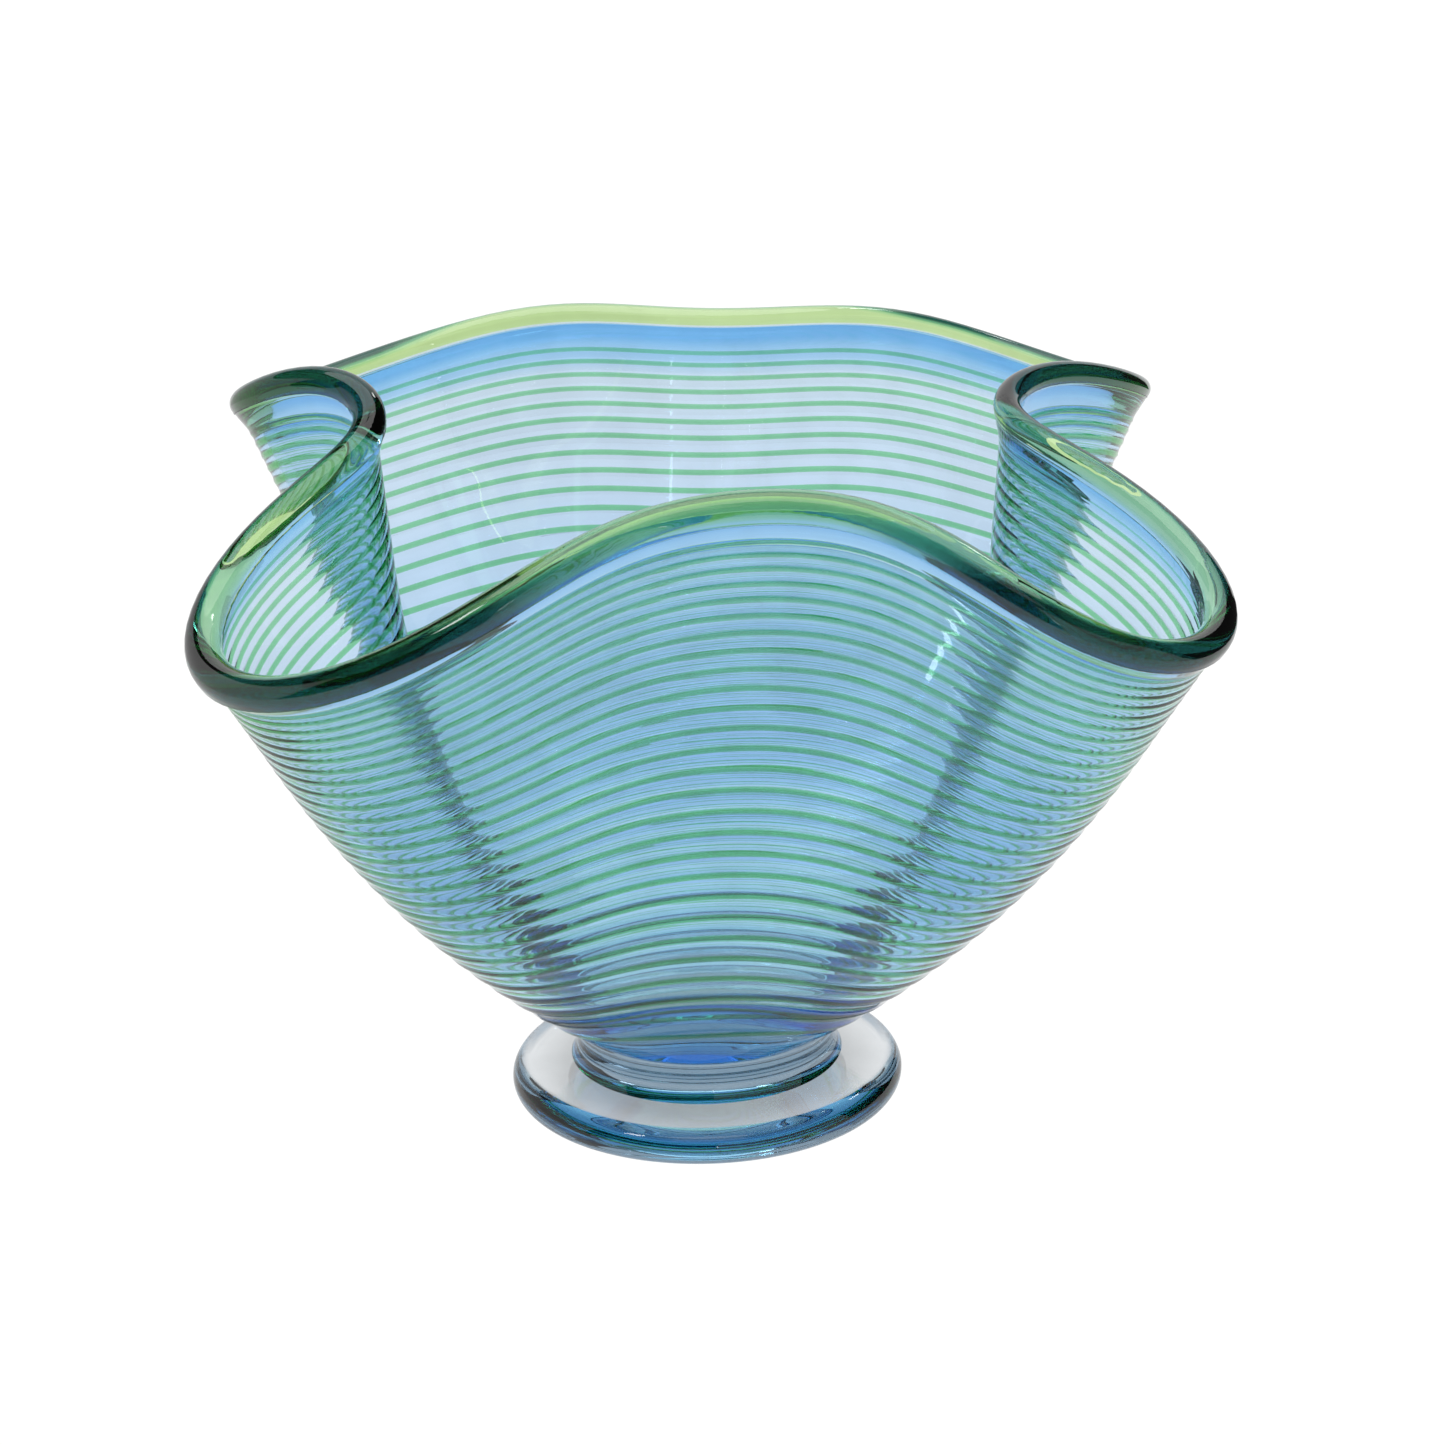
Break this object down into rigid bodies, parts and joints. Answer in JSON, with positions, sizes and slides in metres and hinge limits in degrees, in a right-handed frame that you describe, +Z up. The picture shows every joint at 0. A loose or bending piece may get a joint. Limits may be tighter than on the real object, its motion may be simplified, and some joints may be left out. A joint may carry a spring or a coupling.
{
  "type": "footed ruffled glass bowl",
  "caption": "Footed art glass bowl with a four-fold ruffled rim, a spiral thread round its wall and a thick wrap on its lip.",
  "frame": {"origin": "middle of the foot's underside, on the surface that the bowl stands on", "axes": "+Z up through the bowl's mouth; -Y faces the viewer, with one fold of the rim towards the viewer and lobes on the diagonals"},
  "size_m": [0.2618, 0.2579, 0.2038],
  "materials": {
    "blue_glass": "clear light blue blown glass, fire polished",
    "green_glass": "clear deep green glass thread, sunk almost flush",
    "lime_glass": "clear lime green glass bead, fire polished",
    "clear_glass": "colourless glass, fire polished"
  },
  "bodies": {
    "root": {"bowl_wall": "blue_glass", "spiral_thread": "green_glass", "lip_wrap": "lime_glass", "collar": "clear_glass", "foot": "clear_glass"}
  },
  "joints": []
}
